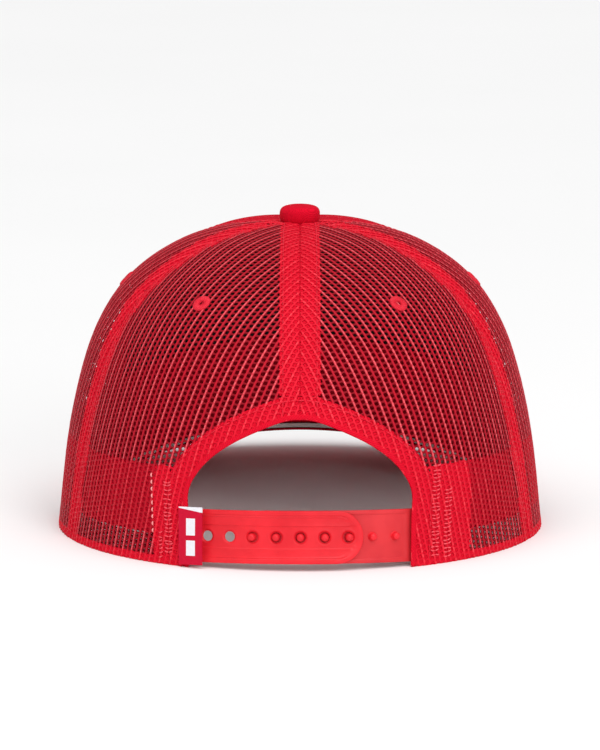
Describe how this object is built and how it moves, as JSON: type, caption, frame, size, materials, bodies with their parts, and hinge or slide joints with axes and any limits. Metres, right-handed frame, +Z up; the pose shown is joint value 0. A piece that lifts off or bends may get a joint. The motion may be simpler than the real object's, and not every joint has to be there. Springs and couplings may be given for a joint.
{
  "type": "trucker cap",
  "caption": "Six-panel cap with an open mesh crown, a curved brim, an arched rear opening and a two-part snap strap for size.",
  "frame": {"origin": "centre of the head opening, on the plane that the hem and the brim's two sides rest on", "axes": "+Z up through the button, -Y towards the brim's tip, +Y through the rear opening, +X to the wearer's left"},
  "size_m": [0.178, 0.2644, 0.1177],
  "materials": {
    "mesh": "open knitted polyester mesh, red",
    "front_cloth": "red twill",
    "backing": "charcoal buckram",
    "seam_tape": "red woven tape",
    "sweatband": "red twill",
    "brim_board": "plain board",
    "brim_cloth": "red twill",
    "button_cloth": "red twill",
    "button_metal": "plain",
    "eyelet_thread": "red satin stitching",
    "strap": "satin moulded plastic",
    "label": "woven ribbon, red with plain white stripes"
  },
  "bodies": {
    "cap": {"mesh_rear_left": "mesh", "mesh_side_left": "mesh", "front_panel_left": "front_cloth", "mesh_rear_right": "mesh", "mesh_side_right": "mesh", "front_panel_right": "front_cloth", "front_backing_left": "backing", "front_backing_right": "backing", "seam_tape_rear_center": "seam_tape", "seam_tape_rear_left": "seam_tape", "seam_tape_rear_right": "seam_tape", "seam_tape_front_left": "seam_tape", "seam_tape_front_right": "seam_tape", "seam_tape_front_center": "seam_tape", "opening_facing": "seam_tape", "sweatband": "sweatband", "brim_board": "brim_board", "brim_top_cloth": "brim_cloth", "brim_under_cloth": "brim_cloth", "button_cover": "button_cloth", "button_core": "button_metal", "button_washer": "button_metal", "eyelet_rear_left": "eyelet_thread", "eyelet_rear_right": "eyelet_thread", "eyelet_side_left": "eyelet_thread", "eyelet_side_right": "eyelet_thread", "eyelet_front_left": "eyelet_thread", "eyelet_front_right": "eyelet_thread", "strap_left_root": "strap", "strap_right_root": "strap"},
    "strap_left": {"strap_left": "strap"},
    "strap_right": {"strap_right": "strap"},
    "flag_label": {"flag_label": "label"}
  },
  "joints": [
    {"name": "strap_left_swing", "type": "hinge", "parent": "cap", "child": "strap_left", "pos_m": [0.036, 0.08545, 0.01103], "axis": [0, 0.0958, -0.9954], "range_deg": [0, 110], "stiffness_Nm_per_rad": 0.002},
    {"name": "strap_right_swing", "type": "hinge", "parent": "cap", "child": "strap_right", "pos_m": [-0.0382, 0.0843, 0.01092], "axis": [0, 0.0958, -0.9954], "range_deg": [0, 70], "stiffness_Nm_per_rad": 0.002},
    {"name": "label_flip", "type": "hinge", "parent": "cap", "child": "flag_label", "pos_m": [0.04267, 0.08598, 0.01113], "axis": [0, 0.0958, -0.9954], "range_deg": [0, 110]}
  ],
  "couplings": [
    {"joint": "label_flip", "follows": "strap_left_swing", "ratio": 1}
  ]
}
